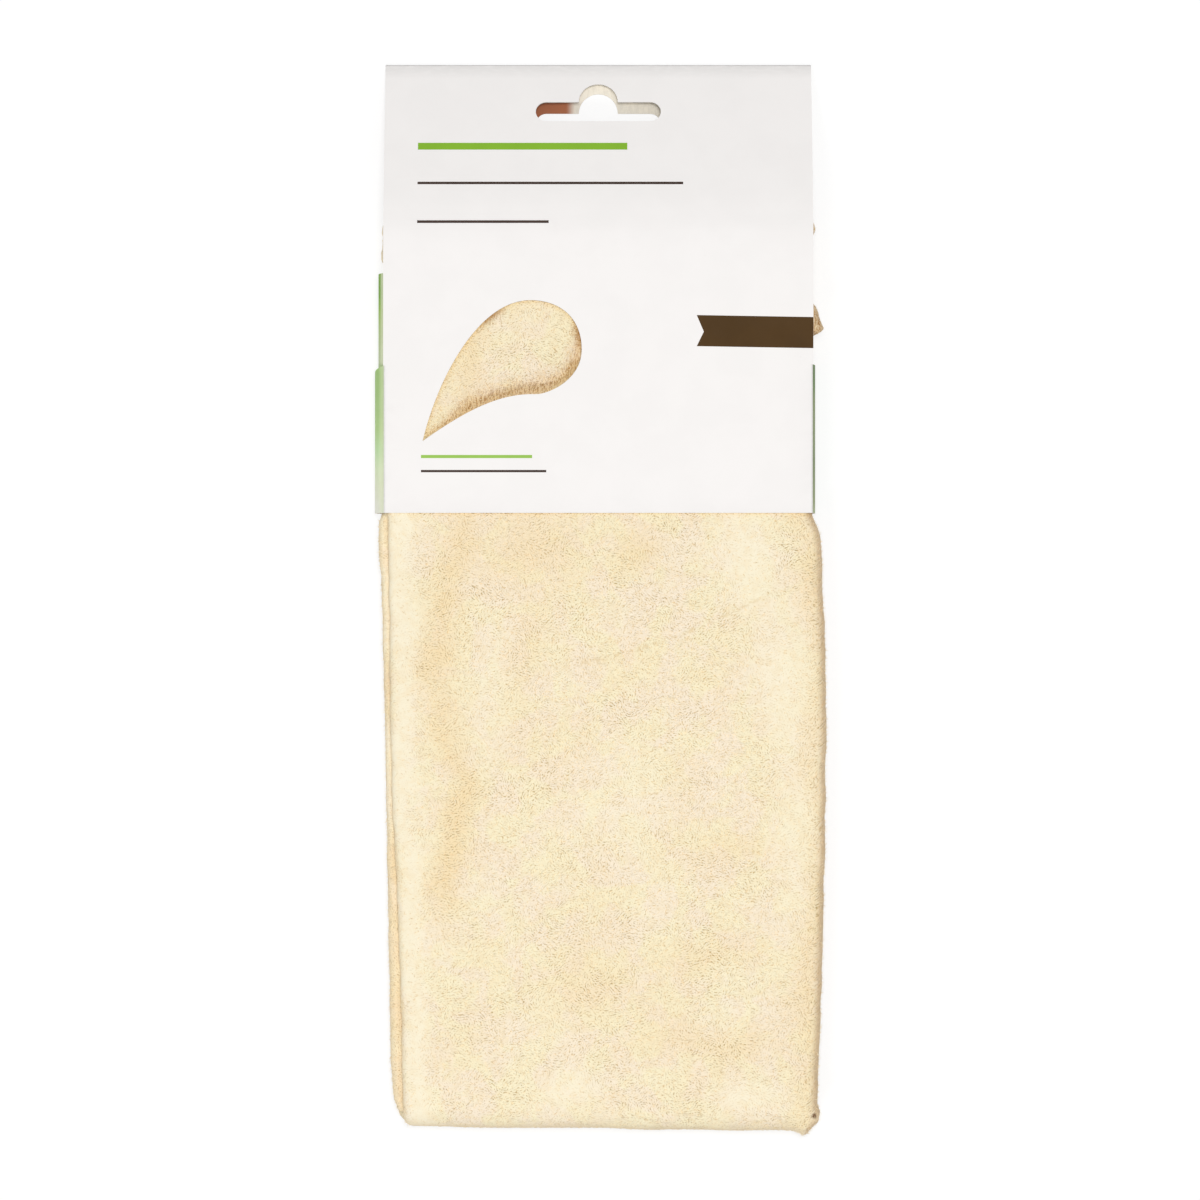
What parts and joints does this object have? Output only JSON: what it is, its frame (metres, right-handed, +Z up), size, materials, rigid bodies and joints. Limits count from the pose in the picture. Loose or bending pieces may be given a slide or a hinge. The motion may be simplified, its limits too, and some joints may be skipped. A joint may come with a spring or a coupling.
{
  "type": "chamois leather in a card sleeve",
  "caption": "Napped chamois leather folded to a long flat packet, held in a creased card sleeve with a sloping header, a euro slot and a drop-shaped window.",
  "frame": {"origin": "middle of the underside of the whole, on the surface that it lies on", "axes": "+Z up out of the front of the card, +Y along the packet towards the card's top fold, +X to the right seen from the front"},
  "size_m": [0.115, 0.274, 0.015],
  "materials": {
    "chamois": "napped, matt",
    "card_face": "coated board, satin white",
    "card_side": "coated board, printed green fading to white"
  },
  "bodies": {
    "sleeve": {"card_front_panel": "card_face", "card_back_panel": "card_face", "card_right_wall": "card_side", "card_left_wall": "card_side", "card_glue_flap": "card_side"},
    "leather": {"chamois_leather": "chamois"}
  },
  "joints": [
    {"name": "leather_slide", "type": "slide", "parent": "sleeve", "child": "leather", "axis": [0, -1, 0], "range_m": [0, 0.085]}
  ]
}
